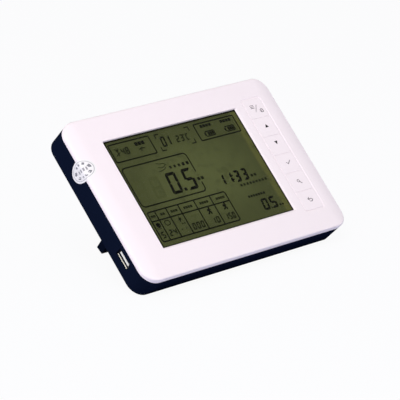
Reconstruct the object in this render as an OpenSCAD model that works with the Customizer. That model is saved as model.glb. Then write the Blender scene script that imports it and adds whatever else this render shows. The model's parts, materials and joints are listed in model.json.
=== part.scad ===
// Desktop weather readout: a white and dark blue housing that leans back on a fold-out stand,
// with a large segment display, a column of six keys and a socket in its left wall.
// Every piece is drawn on the panel (x right, y up the face, z out of the face, 0 at the face)
// and then leaned back so that the housing stands on the desk.

/* [Housing] */
// Width of the housing across its face
body_w = 197; // [195:1:201]
// Height of the housing along its face
body_h = 128.8; // [128.8:0.2:132]
// Depth of the housing from face to back
body_d = 22.4; // [22.2:0.1:23]
// Radius of the four corners seen from the front
corner_r = 12; // [11.5:0.5:13.5]
// Depth of the white front cover
front_d = 4.8; // [4.7:0.1:5]
// Inward taper of the rear cover from the seam to the back
taper = 0.5; // [0.4:0.1:0.9]
// Width of the soft roll at each side of the face
roll_w = 13; // [12:0.5:13.5]
// Drop of the face across the roll
roll_drop = 2; // [1.4:0.1:2.1]
// Edge radius round the top and the sides of the face
face_edge_r = 2.2; // [1.6:0.1:2.4]
// Edge radius along the lower edge of the face
low_edge_r = 1.1; // [1:0.1:1.6]
// Edge radius round the back
back_edge_r = 1; // [0.9:0.1:1.4]
// Angle of the face above the desk
lean = 45.7; // [45:0.1:46.5]

/* [Display] */
// Width of the display window
window_w = 126.9; // [125:0.1:127.4]
// Height of the display window
window_h = 86.6; // [85:0.1:87]
// Offset of the window to the left of the middle
window_shift = 7.4; // [7:0.1:8]
// Height of the window and the keys above the middle
face_rise = 0.5; // [0:0.1:0.8]
// Width of the slope round the window
window_bevel = 1.2; // [1:0.1:1.4]

/* [Keys] */
// Distance between the middles of neighbouring keys
key_pitch = 15.8; // [15.4:0.1:15.9]
// Width of a key
key_w = 17.4; // [17:0.1:17.6]
// Gap between neighbouring keys
key_gap = 0.6; // [0.5:0.1:0.8]
// Middle of the key column to the right of the housing's middle
key_x = 73.8; // [73.6:0.1:74.2]
// Travel of a pressed key
key_travel = 0.5; // [0.3:0.1:0.6]

/* [Stand] */
// Width of the stand leg
leg_w = 100; // [94:1:100]
// Thickness of the stand leg
leg_t = 6.4; // [6:0.1:6.6]
// Height of the stand's hinge above the middle of the back
hinge_y = 9.5; // [8:0.5:10]
// Angle that the leg swings out of the back
stand_open = 81.5; // [80:0.5:84]
// Radius of the hinge pin
pin_r = 1.5; // [1.3:0.1:1.6]

/* [Socket] */
// Height of the socket's middle below the middle of the left wall
usb_drop = 38.4; // [38:0.1:40]
// Distance of the socket's middle behind the face
usb_behind = 12.2; // [12.2:0.1:12.6]

/* [Hidden] */
$fn = 48;

// Colours of the finishes
white_shell = [0.95, 0.93, 0.95];
navy_shell = [0.04, 0.06, 0.14];
clear_plastic = [0.9, 0.95, 0.95, 0.3];
olive_film = [0.33, 0.34, 0.2];
clear_glass = [0.8, 0.9, 0.88, 0.4];
black_plastic = [0.08, 0.08, 0.09];
board_green = [0.08, 0.3, 0.16];
steel = [0.75, 0.76, 0.78];
gold = [0.85, 0.68, 0.3];
rubber_black = [0.05, 0.05, 0.05];
wrap_blue = [0.1, 0.25, 0.55];

// Housing
eps = 0.01;
over = 1;
half_w = body_w / 2;
half_h = body_h / 2;
face_wall = 2.4;
back_wall = 2;
side_wall = 2.6;
rim_wall = 3.8;
roll_rim = 5.5;
lip_gap = 0.15;
lip_t = 1;
lip_len = 1.6;
roll_r = (roll_w * roll_w + roll_drop * roll_drop) / (2 * roll_drop);
arc_step = 15;
skin_fn = 20;
back_inside = -(body_d - back_wall);

// Flat land along the lower rear edge, which lies on the desk
land_cut = 0.3;
land_reach = back_edge_r - land_cut;
land_y = -(half_h - taper - back_edge_r) - land_reach * sin(lean);
land_z = -(body_d - back_edge_r) - land_reach * cos(lean);
desk_span = 400;
desk_depth = 80;

// Layers behind the window, each from its front surface
window_x = -window_shift;
lens_land = 0.2;
lens_z = -(window_bevel + lens_land);
lens_border = 2;
lens_fit = 0.2;
gasket_z = -face_wall;
gasket_border = 1.6;
gasket_lip = 0.4;
film_z = -2.8;
film_t = 0.2;
film_border = 0.7;
glass_z = film_z - film_t;
glass_t = 1;
glass_border = 1.6;
ledge_h = 3;
reflector_z = glass_z - 2 * glass_t;
guide_z = reflector_z - film_t;
guide_t = 1.2;
guide_border = 0.4;
holder_border = 2.2;
holder_t = 1.6;
led_w = 2.4;
led_len = 70;
led_gap = 0.5;
zebra_w = 2;
zebra_gap = 0.7;
zebra_len = 116;

// Main board
board_z = -7.75;
board_t = 1.6;
board_back = board_z - board_t;
board_left = -95.2;
board_right = 92;
board_half_h = 49;
board_corner = 2;
board_posts = [[-84, 44], [-84, -20], [88, 36], [88, -36]];
board_post_r = 2.6;
board_hole_r = 1.3;
board_pilot_r = 1.05;
board_screw_r = 1;
board_head_r = 2.2;
board_head_t = 1.6;
board_screw_len = 4.2;

// Case screws
case_in_x = 9;
case_in_y = 10;
case_x = half_w - case_in_x;
case_y = half_h - case_in_y;
case_boss_r = 3.4;
case_boss_z = -10.4;
case_post_r = 4;
case_post_z = -10.5;
case_pilot_r = 1.25;
case_screw_r = 1.2;
case_hole_r = 1.6;
case_sink_r = 3.2;
case_sink = 3.4;
case_head_r = 2.8;
case_head_t = 2.2;
case_screw_top = -4.4;
cross_w = 0.7;
cross_share = 1.1;
cross_deep = 1.2;

// Keys, from the top of the column
key_names = ["set", "up", "down", "confirm", "query", "back"];
key_count = len(key_names);
key_h = key_pitch - key_gap;
key_top = -0.05;
key_corner = 1.6;
key_side_gap = 0.3;
key_skirt = -3.3;
key_skin = 1.7;
key_wall = 1.4;
key_ear_w = 1.3;
key_ear_z = -2.55;
key_ear_h = 9;
key_post_r = 2.2;
key_post_end = -4.3;
key_recess_w = 20;
key_recess_over = 1.2;
key_recess_d = 0.35;
switch_side = 6.2;
switch_top = -5.15;
plunger_r = 1.7;
plunger_fit = 0.05;
plunger_room = 0.3;
plunger_end = board_z + key_travel + plunger_room;

// Stand
leg_sunk = 0.3;
hinge_z = -(body_d - leg_t / 2 - leg_sunk);
leg_gap = 0.5;
leg_floor_gap = 0.4;
leg_corner = 0.4;
leg_skin = 2.4;
leg_rim = 5;
leg_rib = 2.4;
leg_pockets = 4;
leg_pocket_top = 8;
leg_pocket_end = 9;
leg_fit = 0.05;
foot_under = 0.1;
foot_lift = 0.1;
pad_h = 1.8;
pad_w = 18;
pad_edge = 4;
recess_wall = 1.4;
pin_hold = 4;
pin_block = 5.2;
pin_block_r = 4;
scoop_w = 22;
scoop_deep = 4;

// Length of the leg that puts its inner edge under the desk by foot_under, before it is cut flat
leg_dir = [-cos(stand_open), -sin(stand_open)];
leg_in = [-sin(stand_open), cos(stand_open)];
desk_dir = [-sin(lean), -cos(lean)];
leg_root = [hinge_y - land_y, hinge_z - land_z] + leg_in * leg_t / 2;
leg_len = (foot_under - leg_root * desk_dir) / (leg_dir * desk_dir);

// Battery compartment
cell_w = 34;
cell_h = 50;
cell_t = 7.6;
bay_x = 74.5;
bay_y = -11;
bay_w = 36;
bay_h = 62;
bay_wall = 1.6;
bay_floor = -11;
bay_floor_t = 1;
door_border = 1.7;
door_seat = 1.6;
door_gap = 0.3;
door_t = 1.5;
door_corner = 2;
door_seat_z = -(body_d - door_seat);
bay_bottom = bay_y - bay_h / 2;
tab_x = 9;
tab_w = 6;
tab_lift = 0.1;
tab_z = back_inside + tab_lift;
tab_t = 1.2;
tab_reach = 3.2;
tab_root = 2;
tab_play = 0.3;
door_screw_y = bay_y + bay_h / 2 - 5;
door_boss_r = 3;
door_pilot_r = 1;
door_screw_r = 0.95;
door_hole_r = 1.2;
door_head_r = 2;
door_head_t = 1.05;
door_screw_len = 6;
contact_xs = [-8, 0, 8];
contact_y = 4;
contact_w = 2.4;
contact_t = 1.2;
contact_play = 0.3;
cell_z = -12.3;

// Speaker behind the grille in the back
speaker_x = -72;
speaker_y = 30;
speaker_r = 14;
speaker_rim = 2;
speaker_gasket_t = 0.6;
speaker_h = 3.6;
speaker_plate = 0.8;
cone_r = 11.6;
cone_t = 0.5;
cone_deep = 1.6;
magnet_r = 7;
magnet_t = 3;
magnet_fit = 0.05;
grille_r = 11.5;
grille_step = 3.2;
grille_slot = 1.6;
grille_side = 3;

// Vents over the climate sensor
sensor_x = 66;
sensor_y = 42;
sensor_side = 12;
vent_step = 3.4;
vent_side = 2;
vent_slot = 1.6;
vent_len = 22;

// Socket in the left wall
usb_y = -usb_drop;
usb_z = -usb_behind;
usb_w = 13.1;
usb_h = 5.7;
usb_len = 14;
usb_sheet = 0.35;
usb_sunk = 1.5;
usb_mouth = usb_sunk - half_w;
usb_play = 0.4;
usb_block = 4;
tongue_w = 11.2;
tongue_t = 1.8;
tongue_up = 0.6;
tongue_in = 0.2;
usb_pins = 4;
usb_pin_step = 2.4;
usb_pin_w = 1;
usb_pin_t = 0.15;
usb_pin_in = 1.2;

// Small pieces on the back of the board
chip_side = 12;
chip_t = 1.6;
chip_at = [10, 30];
memory_at = [32, 30];
memory_size = [8, 6, 1.5];
crystal_at = [-6, 30];
crystal_size = [4.5, 11, 3.4];
radio_at = [-34, 34];
radio_base = [24, 18, 1];
radio_can = [19, 13, 2.2];
antenna_at = [-14, 45];
antenna_r = 0.6;
antenna_len = 66;
antenna_z = -12.5;
capacitor_r = 3.15;
capacitor_h = 7.7;
capacitor_x = -60;
capacitor_ys = [-14, -24];
bumper_x = 80;
bumper_y = 50;
bumper_r = 5;
bumper_t = 1.6;
bumper_seat = 0.6;
label_w = 56;
label_h = 24;
label_y = 38;
label_deep = 0.3;

// Leans a piece back from the panel and sets the middle of the desk land at the origin
module leaned() {
    rotate([lean, 0, 0]) translate([0, -land_y, -land_z]) children();
}

// All that lies under the desk, raised by lift, in the panel's frame
module below_desk(lift) {
    translate([0, land_y, land_z]) rotate([-lean, 0, 0])
        translate([-desk_span / 2, -desk_span / 2, lift - desk_depth])
            cube([desk_span, desk_span, desk_depth]);
}

// Rectangle with round corners
module rounded(w, h, r) {
    square([w - 2 * r, h], center = true);
    square([w, h - 2 * r], center = true);
    for (sx = [-1, 1], sy = [-1, 1])
        translate([sx * (w / 2 - r), sy * (h / 2 - r)]) circle(r);
}

// Straight plate with round corners, from its front surface backwards
module plate(w, h, r, z, t) {
    translate([0, 0, z - t]) linear_extrude(t) rounded(w, h, r);
}

// Plain block, centred across, from its front surface backwards
module block(w, h, z, t) {
    translate([-w / 2, -h / 2, z - t]) cube([w, h, t]);
}

// Outline of the housing, drawn in by inset
module outline(inset) {
    rounded(body_w - 2 * inset, body_h - 2 * inset, corner_r - inset);
}

// Straight post along z
module post(r, z_low, z_high) {
    translate([0, 0, z_low]) cylinder(h = z_high - z_low, r = r);
}

// Slot with round ends along y
module slot(w, len, z_low, z_high) {
    translate([0, 0, z_low]) linear_extrude(z_high - z_low) {
        square([w, len - w], center = true);
        for (s = [-1, 1]) translate([0, s * (len - w) / 2]) circle(w / 2);
    }
}

module at_case_screws() {
    for (sx = [-1, 1], sy = [-1, 1]) translate([sx * case_x, sy * case_y, 0]) children();
}

module at_board_posts() {
    for (p = board_posts) translate([p.x, p.y, 0]) children();
}

module at_keys() {
    for (i = [0 : key_count - 1]) at_key(i) children();
}

module at_key(i) {
    translate([key_x, face_rise + ((key_count - 1) / 2 - i) * key_pitch, 0]) children();
}

module at_window() {
    translate([window_x, face_rise, 0]) children();
}

// Fall of the face below its flat at a distance x from the middle
function face_fall(x) =
    let (run = max(0, abs(x) - half_w + roll_w)) roll_r - sqrt(roll_r * roll_r - run * run);

// Edge radius of the face at an angle round a corner: sy tells the upper from the lower corners
function edge_r(sy, a) =
    sy > 0 ? face_edge_r : face_edge_r + (low_edge_r - face_edge_r) * pow(sin(a), 2);

// Solid front cover with its soft rolls and round edges
module front_skin() {
    intersection() {
        hull() {
            for (sx = [-1, 1], sy = [-1, 1], a = [0 : arc_step : 90]) {
                r = edge_r(sy, a);
                x = half_w - corner_r + (corner_r - r) * cos(a);
                y = half_h - corner_r + (corner_r - r) * sin(a);
                translate([sx * x, sy * y, -face_fall(x) - r]) sphere(r, $fn = skin_fn);
            }
            for (sx = [-1, 1], sy = [-1, 1]) {
                r = edge_r(sy, 90);
                translate([sx * (half_w - roll_w), sy * (half_h - r), -r]) sphere(r, $fn = skin_fn);
            }
            block(body_w - 2 * roll_w, body_h - 2 * face_edge_r, 0, eps);
            translate([0, 0, -front_d]) linear_extrude(eps) outline(0);
        }
        block(body_w + over, body_h + over, over, front_d + over);
    }
}

// Solid rear cover with its taper and round back edge
module rear_skin() {
    reach = corner_r - back_edge_r;
    hull() {
        translate([0, 0, -front_d - eps]) linear_extrude(eps) outline(0);
        for (sx = [-1, 1], sy = [-1, 1], a = [0 : arc_step : 90])
            translate([sx * (half_w - taper - corner_r + reach * cos(a)),
                       sy * (half_h - taper - corner_r + reach * sin(a)),
                       back_edge_r - body_d]) sphere(back_edge_r, $fn = skin_fn);
        translate([0, 0, -body_d]) linear_extrude(eps) outline(taper + back_edge_r);
    }
}

module front_cover() color(white_shell) leaned() {
    difference() {
        union() {
            difference() {
                front_skin();
                plate(body_w - 2 * roll_rim, body_h - 2 * rim_wall, corner_r - rim_wall, -face_wall, front_d);
            }
            front_lip();
            at_case_screws() post(case_boss_r, case_boss_z, -face_wall + over);
            at_board_posts() post(board_post_r, board_z, -face_wall + over);
        }
        window_cut();
        key_cut();
        at_case_screws() post(case_pilot_r, case_boss_z - over, case_screw_top + over / 2);
        at_board_posts() post(board_pilot_r, board_z - over, -face_wall - over / 2);
    }
}

// Lip of the front cover that locates it in the rear cover
module front_lip() {
    lip_out = side_wall + lip_gap;
    translate([0, 0, -front_d - lip_len]) linear_extrude(lip_len + over) difference() {
        outline(lip_out);
        outline(lip_out + lip_t);
    }
}

// Window with its slope, and the seat of the clear pane behind it
module window_cut() {
    at_window() {
        block(window_w, window_h, over, face_wall + 2 * over);
        hull() {
            block(window_w + 2 * window_bevel, window_h + 2 * window_bevel, eps, eps);
            block(window_w, window_h, eps - window_bevel, eps);
        }
        block(window_w + 2 * lens_border, window_h + 2 * lens_border, lens_z, face_wall);
    }
}

// Long opening that the keys share, and the shallow recess round it
module key_cut() {
    column_h = key_count * key_pitch;
    translate([key_x, face_rise, 0]) {
        plate(key_w + 2 * key_side_gap, column_h, key_corner, over, face_wall + 2 * over);
        plate(key_recess_w, column_h + 2 * key_recess_over, key_corner + over, over, over + key_recess_d);
    }
}

module rear_cover() color(navy_shell) leaned() {
    difference() {
        union() {
            difference() {
                rear_skin();
                translate([0, 0, back_inside]) linear_extrude(body_d) outline(side_wall);
            }
            recess_box(recess_wall);
            scoop_wall();
            for (s = [-1, 1]) twin(s) pin_holder();
            at_case_screws() post(case_post_r, back_inside - over, case_post_z);
            translate([bay_x, bay_y, 0])
                block(bay_w + 2 * bay_wall, bay_h + 2 * bay_wall, bay_floor, body_d - over + bay_floor);
        }
        below_desk(0);
        recess_box(0);
        recess_scoop();
        pin_bore();
        at_case_screws() post(case_hole_r, -body_d - over, case_post_z + over);
        at_case_screws() post(case_sink_r, -body_d - over, case_sink - body_d);
        bay_cut();
        usb_opening();
        grille_cut();
        vent_cut();
        at_bumpers() post(bumper_r, -body_d - over, bumper_seat - body_d);
        translate([0, label_y, 0]) plate(label_w, label_h, door_corner, label_deep - body_d, over);
    }
    bay_boss();
}

// Turns a piece drawn on the right into its twin on the left
module twin(s) {
    if (s > 0) children();
    else mirror([1, 0, 0]) children();
}

// Space for the folded leg, with a wall of the given thickness
module recess_box(t) {
    w = leg_w + 2 * leg_gap + 2 * t;
    top = hinge_y + leg_t / 2 + leg_gap + t;
    bottom = hinge_y - leg_len - leg_gap - t;
    ceiling = hinge_z + leg_t / 2 + leg_floor_gap + t;
    low = t > 0 ? over - body_d : -over - body_d;
    translate([-w / 2, bottom, low]) cube([w, top - bottom, ceiling - low]);
}

// Finger scoop at the end of the recess
module recess_scoop() {
    translate([0, hinge_y - leg_len, -body_d]) rotate([0, 90, 0])
        cylinder(h = scoop_w, r = scoop_deep, center = true);
}

// Wall behind the finger scoop
module scoop_wall() {
    w = scoop_w + 2 * recess_wall;
    low = half_h - side_wall / 2;
    translate([-w / 2, -low, over - body_d])
        cube([w, low + hinge_y - leg_len, scoop_deep + recess_wall - over]);
}

// Block that holds one end of the hinge pin
module pin_holder() {
    x = leg_w / 2 + leg_gap;
    low = over - body_d;
    translate([x, hinge_y - pin_block_r, low])
        cube([pin_block, 2 * pin_block_r, hinge_z + pin_block_r - low]);
}

module pin_bore() {
    translate([0, hinge_y, hinge_z]) rotate([0, 90, 0])
        cylinder(h = leg_w + 2 * pin_hold + leg_fit, r = pin_r, center = true);
}

// Battery compartment, its door seat, the notches for the door's tabs and the contact slots
module bay_cut() {
    translate([bay_x, bay_y, 0]) {
        block(bay_w, bay_h, bay_floor - bay_floor_t, body_d);
        plate(bay_w + 2 * door_border, bay_h + 2 * door_border, door_corner, door_seat_z, door_seat + over);
    }
    for (s = [-1, 1])
        translate([bay_x + s * tab_x - tab_w / 2 - tab_play, bay_bottom - bay_wall - eps, tab_z - tab_play])
            cube([tab_w + 2 * tab_play, bay_wall + 2 * eps, tab_t + 2 * tab_play]);
    for (x = contact_xs) translate([bay_x + x, contact_y, 0])
        block(contact_w + 2 * contact_play, contact_t + 2 * contact_play, bay_floor + over,
              bay_floor_t + 2 * over);
}

// Boss for the door's screw
module bay_boss() {
    translate([bay_x, door_screw_y, 0]) difference() {
        post(door_boss_r, door_seat_z, bay_floor - bay_floor_t + over / 2);
        post(door_pilot_r, door_seat_z - over, door_seat_z + door_screw_len);
    }
}

module usb_opening() {
    translate([-half_w - over, usb_y - usb_w / 2 - usb_play, usb_z - usb_h / 2 - usb_play])
        cube([side_wall + 3 * over, usb_w + 2 * usb_play, usb_h + 2 * usb_play]);
}

module grille_cut() {
    for (i = [-grille_side : grille_side]) {
        half_len = sqrt(pow(grille_r, 2) - pow(i * grille_step, 2));
        translate([speaker_x + i * grille_step, speaker_y, 0])
            slot(grille_slot, 2 * half_len, -body_d - over, back_inside + over);
    }
}

module vent_cut() {
    for (i = [-vent_side : vent_side])
        translate([sensor_x + i * vent_step, sensor_y, 0])
            slot(vent_slot, vent_len, -body_d - over, back_inside + over);
}

module at_bumpers() {
    for (sx = [-1, 1], sy = [-1, 1]) translate([sx * bumper_x, sy * bumper_y, 0]) children();
}

module back_bumpers() color(rubber_black) leaned() {
    at_bumpers() post(bumper_r - eps, bumper_seat - body_d - bumper_t, bumper_seat - body_d);
}

// Display, from the clear pane backwards
module lcd_window() color(clear_plastic) leaned() at_window() {
    border = lens_border - lens_fit;
    block(window_w + 2 * border, window_h + 2 * border, lens_z, face_wall + lens_z);
}

module window_gasket() color(black_plastic) leaned() at_window() difference() {
    block(window_w + 2 * gasket_border, window_h + 2 * gasket_border, gasket_z, gasket_z - film_z);
    block(window_w + 2 * gasket_lip, window_h + 2 * gasket_lip, over, body_d);
}

module lcd_polariser() color(olive_film) leaned() at_window()
    block(window_w + 2 * film_border, window_h + 2 * film_border, film_z, film_t);

module lcd_front_glass() color(clear_glass) leaned() at_window() translate([0, -ledge_h / 2, 0])
    block(window_w + 2 * glass_border, window_h + 2 * glass_border + ledge_h, glass_z, glass_t);

module lcd_rear_glass() color(clear_glass) leaned() at_window()
    block(window_w + 2 * glass_border, window_h + 2 * glass_border, glass_z - glass_t, glass_t);

module lcd_reflector() color(steel) leaned() at_window()
    block(window_w + 2 * film_border, window_h + 2 * film_border, reflector_z, film_t);

module light_guide() color(clear_plastic) leaned() at_window() translate([-led_w / 2, 0, 0])
    block(window_w + 2 * guide_border - led_w, window_h + 2 * guide_border, guide_z, guide_t);

module led_strip() color(gold) leaned() at_window()
    translate([window_w / 2 + guide_border - led_w / 2 + led_gap, 0, 0])
        block(led_w - led_gap, led_len, guide_z, guide_z - board_z);

module lcd_holder() color(black_plastic) leaned() at_window() translate([0, -ledge_h / 2, 0]) difference() {
    w = window_w + 2 * holder_border;
    h = window_h + 2 * holder_border + ledge_h;
    block(w + 2 * holder_t, h + 2 * holder_t, -face_wall, -face_wall - board_z);
    block(w, h, over, body_d);
}

module zebra_strip() color(rubber_black) leaned() at_window()
    translate([0, -(window_h / 2 + glass_border + zebra_gap + zebra_w / 2), 0])
        block(zebra_len, zebra_w, glass_z - glass_t, glass_z - glass_t - board_z);

// Main board and what it carries
module main_board() color(board_green) leaned() translate([0, 0, board_back]) linear_extrude(board_t)
    difference() {
        translate([(board_left + board_right) / 2, 0])
            rounded(board_right - board_left, 2 * board_half_h, board_corner);
        for (p = board_posts) translate(p) circle(board_hole_r);
    }

// Block on the back of the board
module on_board(at, size) {
    translate([at.x, at.y, 0]) block(size.x, size.y, board_back, size.z);
}

module processor_chip() color(black_plastic) leaned() on_board(chip_at, [chip_side, chip_side, chip_t]);

module memory_chip() color(black_plastic) leaned() on_board(memory_at, memory_size);

module crystal() color(steel) leaned() on_board(crystal_at, crystal_size);

module capacitors() color(black_plastic) leaned() for (y = capacitor_ys)
    translate([capacitor_x, y, 0]) post(capacitor_r, board_back - capacitor_h, board_back);

module radio_module() color(board_green) leaned() {
    on_board(radio_at, radio_base);
    on_board(radio_at, [radio_can.x, radio_can.y, radio_base.z + radio_can.z]);
}

module radio_antenna() color(gold) leaned() translate([antenna_at.x, antenna_at.y, 0]) {
    post(antenna_r, antenna_z, board_back);
    translate([0, 0, antenna_z]) sphere(antenna_r);
    translate([0, 0, antenna_z]) rotate([0, 90, 0]) cylinder(h = antenna_len, r = antenna_r);
}

module climate_sensor() color(white_shell) leaned() {
    on_board([sensor_x, sensor_y], [sensor_side, sensor_side, radio_base.z]);
    on_board([sensor_x, sensor_y], [sensor_side / 2, sensor_side / 2, radio_base.z + radio_can.z]);
}

// Push switches under the keys
module switch_bodies() color(black_plastic) leaned() at_keys() difference() {
    block(switch_side, switch_side, switch_top, switch_top - board_z);
    post(plunger_r + plunger_fit, board_z - over, switch_top + over);
}

module plunger(i) color(rubber_black) leaned() at_key(i) post(plunger_r, plunger_end, key_post_end);

module set_plunger() plunger(0);
module up_plunger() plunger(1);
module down_plunger() plunger(2);
module confirm_plunger() plunger(3);
module query_plunger() plunger(4);
module back_plunger() plunger(5);

// One key: a hollow cap with an ear under the cover at each side and a post over its switch
module key(i) color(white_shell) leaned() at_key(i) {
    difference() {
        plate(key_w, key_h, key_corner, key_top, key_top - key_skirt);
        block(key_w - 2 * key_wall, key_h - 2 * key_wall, key_top - key_skin, body_d);
    }
    for (s = [-1, 1]) translate([s * (key_w / 2 + key_ear_w / 2 - over / 2), 0, 0])
        block(key_ear_w + over, key_ear_h, key_ear_z, key_ear_z - key_skirt);
    post(key_post_r, key_post_end, key_top - key_skin + over / 2);
}

module set_key() key(0);
module up_key() key(1);
module down_key() key(2);
module confirm_key() key(3);
module query_key() key(4);
module back_key() key(5);

// Speaker that sounds the alarm, facing the grille
module at_speaker() {
    translate([speaker_x, speaker_y, back_inside]) children();
}

module speaker_gasket() color(black_plastic) leaned() at_speaker() difference() {
    post(speaker_r, 0, speaker_gasket_t);
    post(speaker_r - speaker_rim, -over, speaker_gasket_t + over);
}

module speaker_frame() color(steel) leaned() at_speaker() difference() {
    post(speaker_r, speaker_gasket_t, speaker_gasket_t + speaker_h);
    post(speaker_r - speaker_rim, 0, speaker_gasket_t + speaker_h - speaker_plate);
    post(magnet_r, 0, speaker_gasket_t + speaker_h + over);
}

module speaker_cone() color(black_plastic) leaned() at_speaker() translate([0, 0, speaker_gasket_t])
    rotate_extrude() polygon([[0, cone_deep], [magnet_r, cone_deep], [cone_r, 0], [cone_r, cone_t],
                              [magnet_r, cone_deep + cone_t], [0, cone_deep + cone_t]]);

module speaker_magnet() color(steel) leaned() at_speaker() {
    top = speaker_gasket_t + speaker_h;
    post(magnet_r - magnet_fit, top - speaker_plate, top + magnet_t);
}

// Battery, its contacts and its door
module battery_pack() color(wrap_blue) leaned()
    translate([bay_x, bay_bottom + tab_root + over + cell_h / 2, 0]) block(cell_w, cell_h, cell_z, cell_t);

module battery_contacts() color(gold) leaned() for (x = contact_xs)
    translate([bay_x + x, contact_y, 0]) block(contact_w, contact_t, board_back, board_back - cell_z);

module battery_door() color(navy_shell) leaned() difference() {
    union() {
        translate([bay_x, bay_y, 0])
            plate(bay_w + 2 * (door_border - door_gap), bay_h + 2 * (door_border - door_gap), door_corner,
                  door_seat_z, door_t);
        for (s = [-1, 1]) translate([bay_x + s * tab_x - tab_w / 2, bay_bottom, 0]) {
            translate([0, -tab_reach, tab_z]) cube([tab_w, tab_reach + tab_root, tab_t]);
            translate([0, tab_play, door_seat_z - eps])
                cube([tab_w, tab_root - tab_play, tab_z + tab_t - door_seat_z + eps]);
        }
    }
    translate([bay_x, door_screw_y, 0]) {
        post(door_hole_r, door_seat_z - door_t - over, door_seat_z + over);
        translate([0, 0, door_seat_z - door_t - eps])
            cylinder(h = door_head_t + door_gap, r1 = door_head_r + door_gap,
                     r2 = door_screw_r + door_gap / 2);
    }
}

module door_screw() color(steel) leaned() translate([bay_x, door_screw_y, door_seat_z - door_t])
    difference() {
        union() {
            cylinder(h = door_head_t, r1 = door_head_r, r2 = door_screw_r);
            post(door_screw_r, door_head_t - eps, door_screw_len);
        }
        cross_recess(door_head_r * cross_share);
    }

// Cross recess in a screw's head, cut from its outer face
module cross_recess(len) {
    for (a = [0, 90]) rotate(a)
        translate([-len / 2, -cross_w / 2, -over]) cube([len, cross_w, over + cross_deep]);
}

// Screw with a round flat head that faces backwards, its head's outer face at z
module pan_screw(z, head_r, head_t, shank_r, tip_z) {
    difference() {
        union() {
            post(head_r, z, z + head_t);
            post(shank_r, z + head_t - eps, tip_z);
        }
        translate([0, 0, z]) cross_recess(head_r * cross_share);
    }
}

module case_screws() color(steel) leaned() at_case_screws()
    pan_screw(case_sink - body_d - case_head_t, case_head_r, case_head_t, case_screw_r, case_screw_top);

module board_screws() color(steel) leaned() at_board_posts()
    pan_screw(board_back - board_head_t, board_head_r, board_head_t, board_screw_r,
              board_back + board_screw_len);

// Socket in the left wall
module usb_shell() color(steel) leaned() translate([usb_mouth, usb_y, usb_z]) difference() {
    translate([0, -usb_w / 2, -usb_h / 2]) cube([usb_len, usb_w, usb_h]);
    translate([-over, usb_sheet - usb_w / 2, usb_sheet - usb_h / 2])
        cube([usb_len + 2 * over, usb_w - 2 * usb_sheet, usb_h - 2 * usb_sheet]);
}

module usb_insulator() color(white_shell) leaned() translate([usb_mouth + usb_len - usb_block, usb_y, usb_z])
    translate([0, usb_sheet - usb_w / 2, usb_sheet - usb_h / 2])
        cube([usb_block, usb_w - 2 * usb_sheet, usb_h - 2 * usb_sheet]);

module usb_tongue() color(white_shell) leaned() translate([usb_mouth + tongue_in, usb_y, usb_z + tongue_up])
    translate([0, -tongue_w / 2, -tongue_t / 2]) cube([usb_len - usb_block - tongue_in, tongue_w, tongue_t]);

module usb_contacts() color(gold) leaned()
    translate([usb_mouth + usb_pin_in, usb_y, usb_z + tongue_up - tongue_t / 2]) for (i = [0 : usb_pins - 1])
        translate([0, (i - (usb_pins - 1) / 2) * usb_pin_step - usb_pin_w / 2, -usb_pin_t])
            cube([usb_len - usb_block - usb_pin_in, usb_pin_w, usb_pin_t]);

// Stand, drawn folded about its hinge and swung out
module swung() {
    translate([0, hinge_y, hinge_z]) rotate([stand_open, 0, 0]) children();
}

// Whole leg before its foot is cut to the desk
module leg_blank() {
    rotate([0, 90, 0]) cylinder(h = leg_w, r = leg_t / 2, center = true);
    translate([0, 0, -leg_t / 2]) linear_extrude(leg_t) {
        translate([-leg_w / 2, leg_corner - leg_len]) square([leg_w, leg_len - leg_corner]);
        translate([leg_corner - leg_w / 2, -leg_len]) square([leg_w - 2 * leg_corner, leg_len]);
        for (s = [-1, 1]) translate([s * (leg_w / 2 - leg_corner), leg_corner - leg_len]) circle(leg_corner);
    }
}

// Hollows between the ribs on the side of the leg that faces the housing
module leg_hollows() {
    hollow_w = (leg_w - 2 * leg_rim - (leg_pockets - 1) * leg_rib) / leg_pockets;
    for (i = [0 : leg_pockets - 1])
        translate([leg_rim - leg_w / 2 + i * (hollow_w + leg_rib), leg_pocket_end - leg_len,
                   leg_skin - leg_t / 2])
            cube([hollow_w, leg_len - leg_pocket_end - leg_pocket_top, leg_t]);
}

// Bands across the foot where the soft pads sit
module pad_bands() {
    for (s = [-1, 1]) translate([s * (leg_w / 2 - pad_edge - pad_w / 2), 0, 0])
        cube([pad_w, desk_span, desk_span], center = true);
}

module stand_leg() color(navy_shell) leaned() difference() {
    swung() difference() {
        leg_blank();
        leg_hollows();
        rotate([0, 90, 0]) cylinder(h = leg_w + 2 * over, r = pin_r + leg_fit, center = true);
    }
    below_desk(foot_lift);
    intersection() {
        below_desk(pad_h);
        pad_bands();
    }
}

module stand_pads() color(rubber_black) leaned() difference() {
    intersection() {
        swung() leg_blank();
        below_desk(pad_h);
        pad_bands();
    }
    below_desk(0);
}

module stand_pin() color(steel) leaned() translate([0, hinge_y, hinge_z]) rotate([0, 90, 0])
    cylinder(h = leg_w + 2 * pin_hold, r = pin_r, center = true);

front_cover();
rear_cover();
lcd_window();
window_gasket();
lcd_polariser();
lcd_front_glass();
lcd_rear_glass();
lcd_reflector();
light_guide();
led_strip();
lcd_holder();
zebra_strip();
main_board();
processor_chip();
memory_chip();
crystal();
capacitors();
radio_module();
radio_antenna();
climate_sensor();
switch_bodies();
set_key();
up_key();
down_key();
confirm_key();
query_key();
back_key();
set_plunger();
up_plunger();
down_plunger();
confirm_plunger();
query_plunger();
back_plunger();
speaker_frame();
speaker_cone();
speaker_magnet();
speaker_gasket();
battery_pack();
battery_contacts();
battery_door();
door_screw();
usb_shell();
usb_tongue();
usb_insulator();
usb_contacts();
stand_leg();
stand_pads();
stand_pin();
case_screws();
board_screws();
back_bumpers();
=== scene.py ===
import json
import math

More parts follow.
